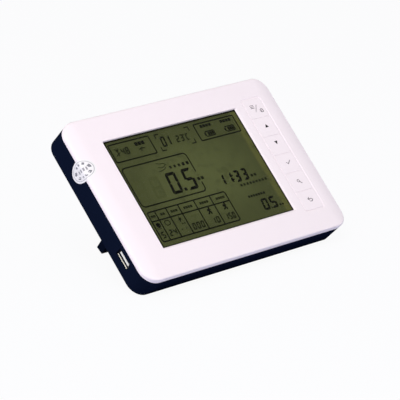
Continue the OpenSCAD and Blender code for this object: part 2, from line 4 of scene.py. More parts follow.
import bmesh
import bpy
from mathutils import Matrix, Vector
from mathutils.geometry import tessellate_polygon


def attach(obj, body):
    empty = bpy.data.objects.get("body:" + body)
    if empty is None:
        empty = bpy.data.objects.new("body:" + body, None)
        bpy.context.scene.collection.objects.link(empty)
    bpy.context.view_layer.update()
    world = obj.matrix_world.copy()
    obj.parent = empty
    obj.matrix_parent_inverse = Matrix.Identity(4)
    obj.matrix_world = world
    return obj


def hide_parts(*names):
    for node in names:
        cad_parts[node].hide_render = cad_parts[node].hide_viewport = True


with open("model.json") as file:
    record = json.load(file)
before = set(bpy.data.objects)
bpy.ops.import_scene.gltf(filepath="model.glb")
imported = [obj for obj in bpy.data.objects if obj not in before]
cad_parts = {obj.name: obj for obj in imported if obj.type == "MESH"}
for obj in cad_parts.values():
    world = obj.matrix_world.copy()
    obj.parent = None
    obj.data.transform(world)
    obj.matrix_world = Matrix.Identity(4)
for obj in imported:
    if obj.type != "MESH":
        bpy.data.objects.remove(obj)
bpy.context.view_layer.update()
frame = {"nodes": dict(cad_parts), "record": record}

# The panel's own frame is in millimetres: x right, y up the face, z out of the face, 0 at the face.
# LAND is the origin of the shared frame there, and EYE the camera.
LEAN = math.radians(45.7)
LAND = Vector((0, -63.400985, -21.888891))
MM = 0.001
PANEL = Matrix.Scale(MM, 4) @ Matrix.Rotation(LEAN, 4, "X") @ Matrix.Translation(-LAND)
EYE = Vector((-1197.687, -500.981, 1235.979))

# Housing
HALF_W, HALF_H, DEPTH = 98.42, 64.4, 22.4
CORNER = 12.0
SEAM = 4.8
TAPER = 0.5
ROLL_W, ROLL_DROP = 13.0, 2.0
ROLL_R = (ROLL_W ** 2 + ROLL_DROP ** 2) / (2 * ROLL_DROP)
ROLL_RUN = 0.975
FACE_EDGE, LOW_EDGE, BACK_EDGE = 2.2, 1.1, 1.0
SIDE_WALL, FACE_WALL, BACK_WALL = 2.6, 2.4, 2.0
BACK_INSIDE = BACK_WALL - DEPTH
WALL_H = DEPTH - SEAM - BACK_EDGE
WALL_TILT = math.atan2(TAPER, WALL_H)
LIP_OUTER, LIP_INNER, LIP_TIP = 2.75, 3.75, -6.4
COVER_INSIDE = 4.6

# Display window, which sits a little above the middle together with the keys
RISE = 0.5
WINDOW = (-70.85, RISE - 43.3, 56.05, RISE + 43.3)
WINDOW_BEVEL = 1.2
LENS_Z, FILM_Z, MARK_T = -1.4, -2.8, 0.03
LENS_BORDER = 2.0
DISPLAY_SHIFT, KEY_SHIFT = (-1.5, -0.15), (0.0, 0.25)

# Keys
KEY_X, KEY_PITCH, KEY_W, KEY_H = 73.8, 15.8, 17.82, 15.76
KEY_R, KEY_LEDGE_R, KEY_END_R = 1.1, 0.12, 1.7
KEY_NAMES = ("set", "up", "down", "confirm", "query", "back")
KEY_TOP = -0.05

# Stand
LEG_W, LEG_T, LEG_LEN = 100.0, 6.4, 65.82
HINGE_Y, HINGE_Z = 9.5, 3.5 - DEPTH
OPEN = math.radians(81.5)
RECESS = (-LEG_W / 2 - 0.5, HINGE_Y - LEG_LEN - 0.5, LEG_W / 2 + 0.5, HINGE_Y + LEG_T / 2 + 0.5)
RECESS_TOP = HINGE_Z + LEG_T / 2 + 0.4
RECESS_WALL = 1.4
SCOOP_W, SCOOP_R = 22.0, 4.0

# Back: battery bay with its door, screws, bumpers, sounder grille and vents as (x, y, width, length)
DOOR_AT, DOOR_W, DOOR_H = (74.5, -11.0), 39.4, 65.4
BAY_W, BAY_H, BAY_WALL = 36.0, 62.0, 1.6
CASE_AT = [(sx * 89.5, sy * (HALF_H - 10.0)) for sx in (-1, 1) for sy in (-1, 1)]
SCREW_SEAT, SCREW_TIP = 3.4, -4.4  # height over the back, and z
SCREW_HEAD_R, SCREW_HEAD_T, SCREW_SHANK_R = 2.8, 2.2, 1.2
BUMPER_AT = [(sx * 80.0, sy * 50.0) for sx in (-1, 1) for sy in (-1, 1)]
BUMPER_SEAT = 0.6
GRILLE_R, GRILLE_PITCH, SLOT_W = 11.5, 3.2, 1.6
GRILLE = [(-72.0 + GRILLE_PITCH * i, 30.0, SLOT_W, 2 * math.sqrt(GRILLE_R ** 2 - (GRILLE_PITCH * i) ** 2))
          for i in range(-3, 4)]
VENTS = [(66.0 + 3.4 * i, 42.0, SLOT_W, 22.0) for i in range(-2, 3)]

# Socket in the left wall, and the outer edge of its bevelled opening
SOCKET_AT, SOCKET_MOUTH = (-38.4, -12.2), -97.0
SOCKET_BEVEL = 0.3
SOCKET_Y, SOCKET_Z = (-45.65, -31.15), (-8.65, -15.75)

# Paper seal over the left seam: half length and half width, its middle on the side profile, and its two faces
SEAL_HALF = (11.7, 7.7)
SEAL_Y, SEAL_S = 28.3, -1.3
SEAL_LIFT = (0.07, 0.01)


# Shader expressions

def sign(operation):
    """Python operator that adds a Math node."""
    return lambda value, other: value.math(operation, other)


class Value:
    """A shader socket that takes part in Python expressions."""

    def __init__(self, tree, socket=None):
        self.tree = tree
        self.socket = socket

    def node(self, kind, settings=None, values=None, out=0):
        """Adds any node: its type, its settings, then the values or links of its sockets."""
        made = self.tree.nodes.new("ShaderNode" + kind)
        for key, setting in (settings or {}).items():
            setattr(made, key, setting)
        for key, value in (values or {}).items():
            if isinstance(value, Value):
                self.tree.links.new(value.socket, made.inputs[key])
            else:
                made.inputs[key].default_value = value
        return Value(self.tree, made.outputs[out] if made.outputs else None)

    def math(self, operation, *others):
        return self.node("Math", {"operation": operation}, dict(enumerate((self,) + others)))

    __add__ = __radd__ = sign("ADD")
    __mul__ = __rmul__ = sign("MULTIPLY")
    __sub__ = sign("SUBTRACT")
    __truediv__ = sign("DIVIDE")
    __pow__ = sign("POWER")

    def __rsub__(self, other):
        return self.node("Math", {"operation": "SUBTRACT"}, {0: other, 1: self})

    def clamped(self):
        return self.node("Clamp", values={"Value": self})

    def step(self, low, high):
        """0 below low, 1 above high, smooth between."""
        return self.node("MapRange", {"interpolation_type": "SMOOTHSTEP"},
                         {"Value": self, "From Min": low, "From Max": high})

    def mix(self, a, b):
        """Colour a where this is 0 and colour b where it is 1."""
        return self.node("Mix", {"data_type": "RGBA"}, {0: self, 6: a, 7: b}, 2)


def srgb(red, green, blue):
    """Linear colour of a colour given as seen on a screen, 0 to 255."""
    def linear(c):
        c /= 255
        return c / 12.92 if c <= 0.04045 else ((c + 0.055) / 1.055) ** 2.4
    return (linear(red), linear(green), linear(blue), 1.0)


def shade(colour, factor):
    return tuple(c * factor for c in colour[:3]) + (1.0,)


class Finish:
    """A material whose maths reads the row's Object coordinates."""

    def __init__(self, name):
        self.material = bpy.data.materials.new(name)
        self.material.use_nodes = True
        tree = self.material.node_tree
        tree.nodes.clear()
        self.start = Value(tree)
        self.where = self.start.node("TexCoord", out="Object")

    def panel(self):
        """x, y and z on the panel in millimetres."""
        turned = self.start.node(
            "Mapping", {"vector_type": "POINT"},
            {"Vector": self.where, "Location": LAND, "Rotation": (-LEAN, 0, 0), "Scale": (1 / MM,) * 3})
        return [self.start.node("SeparateXYZ", values={0: turned}, out=i) for i in range(3)]

    def noise(self, size, detail=2.0, rough=0.5):
        """Noise from 0 to 1 with blots of about this size in millimetres."""
        return self.start.node("TexNoise", {"noise_dimensions": "3D"},
                               {"Vector": self.where, "Scale": 1 / (size * MM), "Detail": detail,
                                "Roughness": rough})

    def bump(self, height, depth):
        """Normal from a height, where depth is its full range in millimetres."""
        return self.start.node("Bump", values={"Height": height, "Distance": depth * MM, "Strength": 1.0})

    def close(self, **sockets):
        """Ends in one principled shader; underscores in the names stand for spaces."""
        values = {key.replace("_", " "): value for key, value in sockets.items()}
        return self.surface(self.start.node("BsdfPrincipled", values=values))

    def surface(self, shader):
        self.start.node("OutputMaterial", values={"Surface": shader})
        return self.material


def moulded(name, colour, rough, grain, depth, spread=0.03, specular=0.5):
    """Moulded plastic with a fine spark-eroded grain and a faint drift of colour."""
    f = Finish(name)
    drift = f.noise(24.0)
    fine = f.noise(grain, 3.0, 0.6)
    base = drift.mix(shade(colour, 1 - spread), shade(colour, 1 + spread))
    roughness = rough + (fine - 0.5) * 0.16 + (drift - 0.5) * 0.05
    return f.close(Base_Color=base, Roughness=roughness, Normal=f.bump(fine, depth),
                   Specular_IOR_Level=specular)


def navy_plastic():
    """Matt dark moulding; the flat back, the recess and the leg's outer face carry a soft sheen."""
    f = Finish("navy plastic")
    x, y, z = f.panel()
    drift, fine = f.noise(24.0), f.noise(0.3, 3.0, 0.6)
    colour = srgb(14, 21, 39)
    side, half = x.math("ABSOLUTE"), LEG_W / 2
    recess = (1 - z.step(RECESS_TOP + 1.7, RECESS_TOP + 2.1)) * (1 - side.step(half + 0.7, half + 1.0))
    recess = recess * (1 - y.math("ABSOLUTE").step(60.0, 61.0))
    back = recess.math("MAXIMUM", 1 - z.step(0.32 - DEPTH, 0.38 - DEPTH))
    from_leg_middle = (y - HINGE_Y) * math.sin(OPEN) - (z - HINGE_Z) * math.cos(OPEN)
    dull_or_painted_shade = side.step(half - 0.6, half - 0.4).math("MAXIMUM", 1 - from_leg_middle.step(2.2, 2.6))
    dull_or_painted_shade = dull_or_painted_shade * (1 - z.step(-DEPTH - 1.0, -DEPTH - 0.5))
    return f.close(Base_Color=drift.mix(shade(colour, 0.92), shade(colour, 1.08)),
                   Roughness=0.62 + (fine - 0.5) * 0.16, Normal=f.bump(fine, 0.02), Specular_IOR_Level=0.0,
                   Coat_Weight=back * (1 - dull_or_painted_shade) * (0.3 + drift * 0.1), Coat_Roughness=0.35)


def metal(name, colour, rough, brushed=0.6):
    """Plated sheet or turned metal with fine drawn lines."""
    f = Finish(name)
    lines = f.start.node("TexNoise", values={
        "Vector": f.start.node("Mapping", values={"Vector": f.where, "Scale": (1, 14, 14)}),
        "Scale": 1 / (brushed * MM), "Detail": 2.0})
    tone = lines.mix(shade(colour, 0.86), shade(colour, 1.06))
    return f.close(Base_Color=tone, Roughness=rough + (lines - 0.5) * 0.2, Metallic=1.0,
                   Normal=f.bump(lines, 0.004))


def socket_steel():
    """Plated sheet of the socket: bright plated metal on its rear wall at the mouth; elsewhere painted shade
    makes it dark and dull.
    """
    f = Finish("socket steel")
    x, _, z = f.panel()
    stain = f.noise(0.7)
    # Painted shade: dark and dull from about half a millimetre behind the mouth, and on every wall but the
    # rear one; the stain noise makes its edge uneven.
    deep = (x - SOCKET_MOUTH + (stain - 0.5) * 0.3).step(0.5, 0.8)
    dull_or_painted_shade = deep.math("MAXIMUM", z.step(-14.65, -14.45))
    tone = dull_or_painted_shade.mix((0.88, 0.85, 0.74, 1), (0.012, 0.012, 0.014, 1))
    return f.close(Base_Color=tone, Roughness=0.42 + stain * 0.1 + dull_or_painted_shade * 0.2, Metallic=0.8 - dull_or_painted_shade * 0.8,
                   Normal=f.bump(stain, 0.004), Specular_IOR_Level=0.1)


def display_film():
    """Olive reflective film: painted light makes it brighter in the middle and where it runs under the
    frame's right side; yellow along its right side, mottled.
    """
    f = Finish("display film")
    x, y, _ = f.panel()
    x0, y0, x1, y1 = WINDOW
    across = (x - (x0 + x1) / 2) / ((x1 - x0) / 2)
    up = (y - RISE) / ((y1 - y0) / 2)
    # Painted light: a pool of light brightens the middle of the window.
    lit = (1 - ((across - 0.03) ** 2.0 * 1.28 + up * up * 1.43)).clamped()
    mottle = f.noise(7.0, 3.0, 0.6)
    speck = f.noise(0.5, 2.0)
    base = lit.mix(srgb(73, 78, 45), srgb(88, 94, 55))
    base = x.step(50.0, 52.6).mix(base, srgb(92, 94, 50))
    # Painted light: brighter where the film runs under the frame's right side, against the shade there.
    base = x.step(55.8, 57.0).mix(base, srgb(122, 122, 74))
    base = (mottle.step(0.48, 0.7) * 0.6).mix(base, srgb(66, 71, 42))
    return f.close(Base_Color=base, Roughness=0.6 + (speck - 0.5) * 0.1, Specular_IOR_Level=0.03)


def ink(name, colour, rough=0.6):
    """Printed or switched-on mark, or a band of painted shade, slightly uneven in cover."""
    f = Finish(name)
    cover = f.noise(0.8, 2.0)
    return f.close(Base_Color=cover.mix(shade(colour, 0.85), shade(colour, 1.2)),
                   Roughness=rough + (cover - 0.5) * 0.1, Specular_IOR_Level=0.03)


def clear(name, tint, alpha, rough):
    """Clear pane: mostly see-through, with a polished surface and the faintest smears."""
    f = Finish(name)
    smear = f.noise(18.0, 3.0)
    return f.close(Base_Color=smear.mix(tint, shade(tint, 0.94)), Alpha=alpha + (smear - 0.5) * 0.02,
                   Roughness=rough + (smear - 0.5) * 0.04)


def board_finish():
    """Green board with a darker pattern of tracks under the lacquer."""
    f = Finish("circuit board")
    lanes = f.start.node("TexBrick", values={
        "Vector": f.where, "Scale": 300.0, "Mortar Size": 0.02, "Color1": srgb(18, 74, 44),
        "Color2": srgb(14, 64, 38), "Mortar": srgb(34, 104, 62)})
    dust = f.noise(4.0)
    return f.close(Base_Color=(dust * 0.4).mix(lanes, srgb(20, 70, 44)), Roughness=0.35 + dust * 0.1)


def seal_paper():
    """Oval paper seal: a thin printed ring, plain blocks round a grey bar, read from its own map."""
    f = Finish("seal paper")
    place = f.start.node("UVMap", {"uv_map": "seal"})
    u = f.start.node("SeparateXYZ", values={0: place}, out=0)
    v = f.start.node("SeparateXYZ", values={0: place}, out=1)
    along, across = u * SEAL_HALF[0], v * SEAL_HALF[1]
    radius = ((along / 10.0) ** 2.0 + (across / 6.3) ** 2.0).math("SQRT")
    ring = (1 - (radius - 1).math("ABSOLUTE").step(0.015, 0.045)) * 0.6
    angle = across.math("ARCTAN2", along)
    wave = (angle * 9.0).math("SINE").step(-0.2, 0.25)
    band = 1 - (radius - 0.72).math("ABSOLUTE").step(0.11, 0.15)
    blot = f.noise(1.1, 2.0)
    blocks = wave * band * blot.step(0.32, 0.52)
    bar = (1 - across.math("ABSOLUTE").step(1.0, 1.4)) * (1 - along.math("ABSOLUTE").step(4.6, 5.2))
    bar = bar * (along * 2.6).math("SINE").step(-0.5, 0.2) * 0.8
    print_mask = ring.math("MAXIMUM", blocks).math("MAXIMUM", bar)
    fibre = f.noise(0.4, 3.0)
    paper = fibre.mix(srgb(232, 229, 229), srgb(243, 240, 240))
    return f.close(Base_Color=(print_mask * 0.9).mix(paper, srgb(92, 94, 104)), Roughness=0.7,
                   Normal=f.bump(fibre, 0.01))


FINISHES = {
    "white_plastic": moulded("white plastic", srgb(244, 234, 237), 0.55, 0.35, 0.012, 0.008, 0.15),
    "navy_plastic": navy_plastic(),
    "clear_acrylic": clear("clear acrylic", (0.02, 0.02, 0.02, 1), 0.05, 0.06),
    "display_film": display_film(),
    "display_glass": clear("display glass", (0.75, 0.86, 0.82, 1), 0.3, 0.05),
    "foil": metal("reflector foil", (0.8, 0.81, 0.8, 1), 0.3),
    "black_plastic": moulded("black plastic", srgb(26, 26, 28), 0.5, 0.4, 0.015, 0.08, 0.3),
    "black_rubber": moulded("black rubber", srgb(20, 20, 21), 0.75, 0.6, 0.03, 0.1, 0.25),
    "circuit_board": board_finish(),
    "white_nylon": moulded("white nylon", srgb(250, 248, 238), 0.45, 0.5, 0.01, 0.01, 0.4),
    "steel": metal("plated steel", (0.68, 0.67, 0.64, 1), 0.28),
    "gold_contact": metal("gold contact", (0.86, 0.66, 0.3, 1), 0.26),
    "battery_wrap": moulded("battery wrap", srgb(30, 70, 140), 0.3, 6.0, 0.05, 0.05, 0.5),
}
SEGMENT_INK = ink("segment ink", srgb(8, 9, 4))
FAINT_INK = ink("faint segment ink", srgb(25, 28, 12))
GHOST_INK = ink("resting segment ink", srgb(71, 76, 42))
# Dark band round the display window: painted shade of the gap between frame and film.
PAINTED_RIM_SHADE = ink("display rim painted shade", srgb(34, 35, 16))
LEGEND_INK = ink("key legend ink", srgb(66, 60, 66))
ARROW_INK = ink("key arrow ink", srgb(18, 16, 20))
SEAL_PAPER = seal_paper()
SOCKET_STEEL = socket_steel()


# Mesh building on the panel

SHARP = math.radians(35.0)


class Net:
    """A closed mesh under construction on the panel, in millimetres."""

    def __init__(self):
        self.bm = bmesh.new()

    def loop(self, points):
        return [self.bm.verts.new(p) for p in points]

    def band(self, a, b, skip=()):
        """Quads between two closed loops of equal length, apart from the skipped places."""
        n = len(a)
        for i in range(n):
            if i not in skip:
                j = (i + 1) % n
                self.bm.faces.new((a[i], a[j], b[j], b[i]))

    def stack(self, loops):
        """Bands through a row of point loops; gives the loops' vertices."""
        made = [self.loop(points) for points in loops]
        for a, b in zip(made, made[1:]):
            self.band(a, b)
        return made

    def cap(self, outer, holes=()):
        """Flat fill between an outer loop and its holes."""
        rings = [outer, *holes]
        flat = [v for ring in rings for v in ring]
        for tri in tessellate_polygon([[v.co for v in ring] for ring in rings]):
            corners = [flat[i] for i in tri]
            if len(set(corners)) == 3:
                self.bm.faces.new(corners)

    def prism(self, outline, z_low, z_high, holes=()):
        """Straight plate of an outline with holes."""
        tops, bottoms = [], []
        for ring in (outline, *holes):
            low, high = self.stack([[(x, y, z) for x, y in ring] for z in (z_low, z_high)])
            bottoms.append(low)
            tops.append(high)
        self.cap(tops[0], tops[1:])
        self.cap(bottoms[0], bottoms[1:])

    def mesh(self, name, place=PANEL, merge=1e-4):
        """The finished mesh, in the row's frame, with smooth shading up to the sharp angle."""
        if merge:
            bmesh.ops.remove_doubles(self.bm, verts=self.bm.verts, dist=merge)
        bmesh.ops.recalc_face_normals(self.bm, faces=self.bm.faces)
        self.bm.transform(place)
        for face in self.bm.faces:
            face.smooth = True
        made = bpy.data.meshes.new(name)
        self.bm.to_mesh(made)
        self.bm.free()
        made.set_sharp_from_angle(angle=SHARP)
        return made


def placed(name, data):
    """New object in the scene."""
    made = bpy.data.objects.new(name, data)
    bpy.context.scene.collection.objects.link(made)
    return made


def show(name, mesh, material, body, replaces=()):
    """Puts a finished mesh in the scene, riding on its body."""
    piece = placed(name, mesh)
    mesh.materials.clear()
    mesh.materials.append(material)
    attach(piece, body)
    if replaces:
        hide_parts(*replaces)
    return piece


def even_normals(piece):
    """Lets the large flat faces lead the shading."""
    weighted = piece.modifiers.new("even normals", "WEIGHTED_NORMAL")
    weighted.keep_sharp = True
    weighted.weight = 80


def arc(x, y, r, start, end, steps):
    """Points on an arc, angles in degrees, both ends included."""
    for i in range(steps + 1):
        a = math.radians(start + (end - start) * i / steps)
        yield (x + r * math.cos(a), y + r * math.sin(a))


def rounded(x0, y0, x1, y1, r, steps=6, low=None):
    """Rectangle with round corners, anticlockwise; the lower pair may have a radius of its own."""
    low = r if low is None else low
    corners = ((x1 - r, y1 - r, r, 0), (x0 + r, y1 - r, r, 90), (x0 + low, y0 + low, low, 180),
               (x1 - low, y0 + low, low, 270))
    return [p for x, y, radius, a in corners for p in arc(x, y, radius, a, a + 90, steps)]


def round_at(x, y, r, steps=32):
    return list(arc(x, y, r, 0, 360 - 360 / steps, steps - 1))


def slot_at(x, y, w, length, steps=8):
    """Slot with round ends along y."""
    r, half = w / 2, (length - w) / 2
    return [*arc(x, y + half, r, 0, 180, steps), *arc(x, y - half, r, 180, 360, steps)]


def at(points, z):
    return [(x, y, z) for x, y in points]


def face_fall(x):
    run = max(0.0, abs(x) - HALF_W + ROLL_W)
    return ROLL_R - math.sqrt(ROLL_R ** 2 - run ** 2)


# Breaks along the straight sides, so that the rolls and the socket's opening fall on mesh lines
SIDE_BREAKS = (-50.0, SOCKET_Y[0], SOCKET_Y[1], -26.0, -13.0, 0.0, 13.0, 26.0, 39.0, 50.0)
TOP_BREAKS = (-85.4, -84.0, -60.0, -36.0, -12.0, 12.0, 36.0, 60.0, 84.0, 85.4)
STRAIGHT = 86.4


def outline(inset, steps=14):
    """Outline of the housing drawn in by inset, anticlockwise, always with the same number of points."""
    w, h, r = HALF_W - inset, HALF_H - inset, max(CORNER - inset, 0.8)
    across = [x * min(1, (w - r) / STRAIGHT) for x in TOP_BREAKS]
    points = []
    for sx, sy, a, side in ((1, 1, 0, [(x, h) for x in reversed(across)]),
                            (-1, 1, 90, [(-w, y) for y in reversed(SIDE_BREAKS)]),
                            (-1, -1, 180, [(x, -h) for x in across]),
                            (1, -1, 270, [(w, y) for y in SIDE_BREAKS])):
        points += [*arc(sx * (w - r), sy * (h - r), r, a, a + 90, steps), *side]
    return points


def rolled(inset):
    """The outline at the height of the face above it."""
    return [(x, y, -face_fall(x)) for x, y in outline(inset)]


def face_edge(a):
    """Ring of the round edge of the face at an angle over the edge, tighter along the lower side."""
    ring = []
    for (x, y), (bx, by) in zip(outline(0), outline(FACE_EDGE)):
        ox, oy = (x - bx) / FACE_EDGE, (y - by) / FACE_EDGE
        r = FACE_EDGE + (LOW_EDGE - FACE_EDGE) * max(0.0, -oy) ** 2
        inset = r * (1 - math.sin(a))
        ring.append((x - ox * inset, y - oy * inset, -face_fall(x - ox * r) - r * (1 - math.cos(a))))
    return ring


def front_shell():
    """White front cover: flat face, soft side rolls, round edge, lip, window and key opening."""
    net = Net()
    loops = [at(outline(13.6), 0.0), at(outline(13.2), 0.0)]
    loops += [rolled(d) for d in (11.6, 10.0, 8.4, 6.8, 5.2, 3.8, 2.7, FACE_EDGE)]
    loops += [face_edge(math.radians(90 * i / 8)) for i in range(9)]
    for inset, z in ((0, -4.0), (0, 0.12 - SEAM), (0.12, -SEAM), (LIP_OUTER, -SEAM),
                     (LIP_OUTER, LIP_TIP + 0.1), (LIP_OUTER + 0.1, LIP_TIP), (LIP_INNER - 0.1, LIP_TIP),
                     (LIP_INNER, LIP_TIP + 0.1), (LIP_INNER, -SEAM), (COVER_INSIDE, -SEAM),
                     (COVER_INSIDE, -FACE_WALL)):
        loops.append(at(outline(inset), z))
    made = net.stack(loops)
    x0, y0, x1, y1 = WINDOW

    def window(grow, z):
        top = y1 + (grow if z <= LENS_Z else grow * 0.25)
        return at(rounded(x0 - grow, y0 - grow, x1 + grow, top, 0.5 + max(0, grow) * 0.3, 4), z)

    pane = net.stack([window(WINDOW_BEVEL + 0.15, 0.0), window(WINDOW_BEVEL, -0.02),
                      window(0.12, -WINDOW_BEVEL + 0.04), window(0, -WINDOW_BEVEL - 0.08),
                      window(0, LENS_Z), window(LENS_BORDER, LENS_Z), window(LENS_BORDER, -FACE_WALL)])

    def keys(half_w, half_h, r, z):
        return at(rounded(KEY_X - half_w, RISE - half_h, KEY_X + half_w, RISE + half_h, r, 5), z)

    column = net.stack([keys(10.15, 48.75, 2.75, 0.0), keys(10.03, 48.63, 2.63, -0.05),
                        keys(9.95, 48.55, 2.5, -0.3), keys(9.8, 48.4, 2.4, -0.35),
                        keys(9.06, 47.46, 1.66, -0.35), keys(9.0, 47.4, 1.6, -0.41),
                        keys(9.0, 47.4, 1.6, -FACE_WALL)])
    net.cap(made[0], (pane[0], column[0]))
    net.cap(made[-1], (pane[-1], column[-1]))
    even_normals(show("front_shell", net.mesh("front_shell"), FINISHES["white_plastic"], "housing",
                      ("front_cover",)))


def recess_loop(grow, height):
    """Leg recess at a height over the back, with its finger scoop, whose reach shrinks inwards."""
    x0, y0, x1, y1 = RECESS
    x0, y0, x1, y1 = x0 - grow, y0 - grow, x1 + grow, y1 + grow
    reach = math.sqrt(max(0.0, SCOOP_R ** 2 - height ** 2)) - 0.495
    low = y0 - max(0.0, reach)
    half = SCOOP_W / 2
    corners = [*arc(x1 - 1, y1 - 1, 1, 0, 90, 4), *arc(x0 + 1, y1 - 1, 1, 90, 180, 4),
               *arc(x0 + 1, y0 + 1, 1, 180, 270, 4)]
    notch = [(-half, y0), (-half, low), (-half / 2, low), (0, low), (half / 2, low), (half, low), (half, y0)]
    return at(corners + notch + list(arc(x1 - 1, y0 + 1, 1, 270, 360, 4)), height - DEPTH)


def rear_shell():
    """Dark rear cover: tapered walls, round back edge, socket opening, leg recess, battery bay, slots."""
    net = Net()
    levels = [(0.25, -SEAM - 0.03), (0.06, -SEAM - 0.1), (0.02, -SEAM - 0.3)]
    levels += [(TAPER * (-z - SEAM) / WALL_H, z) for z in (*SOCKET_Z, -17.0)]
    centre = TAPER + BACK_EDGE
    for i in range(10):
        a = WALL_TILT + (math.pi / 2 - WALL_TILT) * i / 9
        levels.append((centre - BACK_EDGE * math.cos(a), BACK_EDGE - DEPTH - BACK_EDGE * math.sin(a)))
    levels.append((centre + 0.4, -DEPTH))
    outer = [net.loop(at(outline(d), z)) for d, z in levels]
    start = min(i for i, (x, y) in enumerate(outline(0)) if x == -HALF_W and y in SOCKET_Y)
    for k, (a, b) in enumerate(zip(outer, outer[1:])):
        net.band(a, b, (start,) if k == 3 else ())
    inner = net.stack([at(outline(d), z) for d, z in (
        (SIDE_WALL, -SEAM - 0.03), (SIDE_WALL, BACK_INSIDE + 1.0), (SIDE_WALL + 1.0, BACK_INSIDE))])
    net.band(outer[0], inner[0])
    mouth = [outer[3][start], outer[3][start + 1], outer[4][start + 1], outer[4][start]]
    y0, y1, z1, z0 = *SOCKET_Y, *SOCKET_Z
    b = SOCKET_BEVEL
    for x in (-97.9, 0.2 + SIDE_WALL - HALF_W):
        deep = net.loop([(x, y1 - b, z1 - b), (x, y0 + b, z1 - b), (x, y0 + b, z0 + b), (x, y1 - b, z0 + b)])
        net.band(mouth, deep)
        mouth = deep
    holes, floors = [], []

    def feature(shape, profile, through=False):
        """Rings of one shape through a profile of (grow, height over the back), blind or through the wall."""
        made = net.stack([at(shape(grow), height - DEPTH) for grow, height in profile])
        holes.append(made[0])
        if through:
            floors.append(made[-1])
        else:
            net.cap(made[-1])

    def raised(points, top):
        """Wall of a hollow that stands up inside the cover."""
        made = net.stack([at(points, BACK_INSIDE), at(points, top)])
        floors.append(made[0])
        net.cap(made[-1])

    recess = net.stack([recess_loop(grow, height) for grow, height in (
        (0.25, 0.0), (0.05, 0.12), (0, 0.4), (0, 1.2), (0, 2.2), (0, 3.0), (0, 3.6), (0, 4.0),
        (0, RECESS_TOP + DEPTH))])
    holes.append(recess[0])
    net.cap(recess[-1])
    x0, y0, x1, y1 = RECESS
    wall = RECESS_WALL
    raised(rounded(x0 - wall, y0 - wall, x1 + wall, y1 + wall, 1.5, 4), RECESS_TOP + wall)
    dx, dy = DOOR_AT

    def door(grow):
        w, h = DOOR_W / 2 + grow, DOOR_H / 2 + grow
        return rounded(dx - w, dy - h, dx + w, dy + h, 2.0 + grow * 0.9, 5)

    ledge = (BAY_W - DOOR_W) / 2
    feature(door, ((0.2, 0), (0.04, 0.1), (0, 0.3), (0, 1.6), (ledge, 1.6), (ledge, 10.4)))
    w, h = BAY_W / 2 + BAY_WALL, BAY_H / 2 + BAY_WALL
    raised(rounded(dx - w, dy - h, dx + w, dy + h, 1.0, 5), -11.0)
    for x, y in CASE_AT:
        feature(lambda g, x=x, y=y: round_at(x, y, 3.2 + g),
                ((0.3, 0), (0.06, 0.1), (0, 0.4), (0, SCREW_SEAT), (-1.6, SCREW_SEAT), (-1.6, 11.9),
                 (0.8, 11.9), (0.8, BACK_WALL)), True)
    for x, y in BUMPER_AT:
        feature(lambda g, x=x, y=y: round_at(x, y, 5.0 + g), ((0.15, 0), (0.05, 0.1), (0.05, BUMPER_SEAT)))
    feature(lambda g: rounded(-28 - g, 26 - g, 28 + g, 50 + g, 2 + g, 5), ((0.12, 0), (0, 0.12), (-0.1, 0.3)))
    for x, y, w, length in GRILLE + VENTS:
        feature(lambda g, x=x, y=y, w=w, n=length: slot_at(x, y, w + 2 * g, n + 2 * g),
                ((0.25, 0), (0.06, 0.1), (0, 0.35), (0, BACK_WALL)), True)
    net.cap(outer[-1], holes)
    net.cap(inner[-1], floors)
    mesh = net.mesh("rear_shell")
    for v in mesh.vertices:
        v.co.z = max(v.co.z, 0.0)
    even_normals(show("rear_shell", mesh, FINISHES["navy_plastic"], "housing",
                      ("rear_cover",)))


def copies_tree():
    """Geometry nodes that set a turned and sized copy of a piece on every point."""
    tree = bpy.data.node_groups.new("copies on points", "GeometryNodeTree")
    made = {}
    for name, kind in (("Points", "Geometry"), ("Piece", "Object"), ("Finish", "Material"),
                       ("Across", "Float"), ("Along", "Float"), ("Depth", "Float")):
        socket = tree.interface.new_socket(name, in_out="INPUT", socket_type="NodeSocket" + kind)
        made[name] = socket.identifier
    tree.interface.new_socket("Copies", in_out="OUTPUT", socket_type="NodeSocketGeometry")

    def node(kind, links=None, **settings):
        new = tree.nodes.new(kind)
        for key, setting in settings.items():
            setattr(new, key, setting)
        for key, socket in (links or {}).items():
            tree.links.new(socket, new.inputs[key])
        return new

    def read(name):
        new = node("GeometryNodeInputNamedAttribute", data_type="FLOAT_VECTOR")
        new.inputs["Name"].default_value = name
        return new.outputs["Attribute"]

    start = node("NodeGroupInput").outputs
    whole = node("ShaderNodeCombineXYZ", {0: start["Across"], 1: start["Along"], 2: start["Depth"]})
    size = node("ShaderNodeVectorMath", {0: read("size"), 1: whole.outputs[0]}, operation="MULTIPLY")
    turn = node("FunctionNodeEulerToRotation", {0: read("turn")})
    piece = node("GeometryNodeObjectInfo", {"Object": start["Piece"]})
    spread = node("GeometryNodeInstanceOnPoints", {
        "Points": start["Points"], "Instance": piece.outputs["Geometry"],
        "Rotation": turn.outputs[0], "Scale": size.outputs[0]})
    real = node("GeometryNodeRealizeInstances", {0: spread.outputs[0]})
    dressed = node("GeometryNodeSetMaterial", {"Geometry": real.outputs[0], "Material": start["Finish"]})
    node("NodeGroupOutput", {0: dressed.outputs[0]})
    return tree, made


COPIES, COPIES_INPUT = copies_tree()


